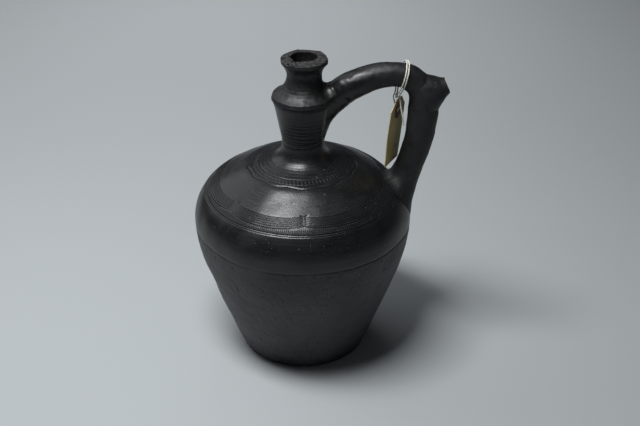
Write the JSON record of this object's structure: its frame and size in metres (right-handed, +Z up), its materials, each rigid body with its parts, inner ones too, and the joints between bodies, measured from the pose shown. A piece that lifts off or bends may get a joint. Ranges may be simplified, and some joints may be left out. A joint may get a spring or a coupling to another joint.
{
  "type": "water jug",
  "caption": "One-handled black clay water jug with a narrow collared neck, an arched handle with a broken spout, and a strung paper tag.",
  "frame": {"origin": "centre of the flat base, on the surface the jug stands on", "axes": "+Z up along the jug's axis, +X towards the handle, and the pictured side faces -Y"},
  "size_m": [0.2448, 0.212, 0.31],
  "materials": {
    "burnished_clay": "burnished, reduction-fired black",
    "matte_clay": "unburnished, pitted grey-black",
    "tag_card": "matte buff card",
    "patch": "matte red-brown fibre",
    "cotton": "twisted cotton string"
  },
  "bodies": {
    "jug": {"lower_body": "matte_clay", "shoulder": "burnished_clay", "neck": "burnished_clay", "mouth": "burnished_clay", "handle_arm": "burnished_clay", "handle_elbow": "burnished_clay", "handle_post": "burnished_clay", "spout": "burnished_clay", "collar_fillet": "burnished_clay", "foot_fillet": "burnished_clay"},
    "string": {"tag_string": "cotton", "string_knot": "cotton"},
    "tag": {"tag_card": "tag_card", "patch_front": "patch", "patch_back": "patch"}
  },
  "joints": [
    {"name": "string_swing", "type": "hinge", "parent": "jug", "child": "string", "pos_m": [0.0947, 0, 0.2915], "axis": [0.9659, 0, -0.2588], "range_deg": [0, 55]},
    {"name": "tag_twist", "type": "hinge", "parent": "string", "child": "tag", "pos_m": [0.091, 0.0015, 0.257], "axis": [0, 0, 1], "range_deg": [-5, 24]}
  ]
}
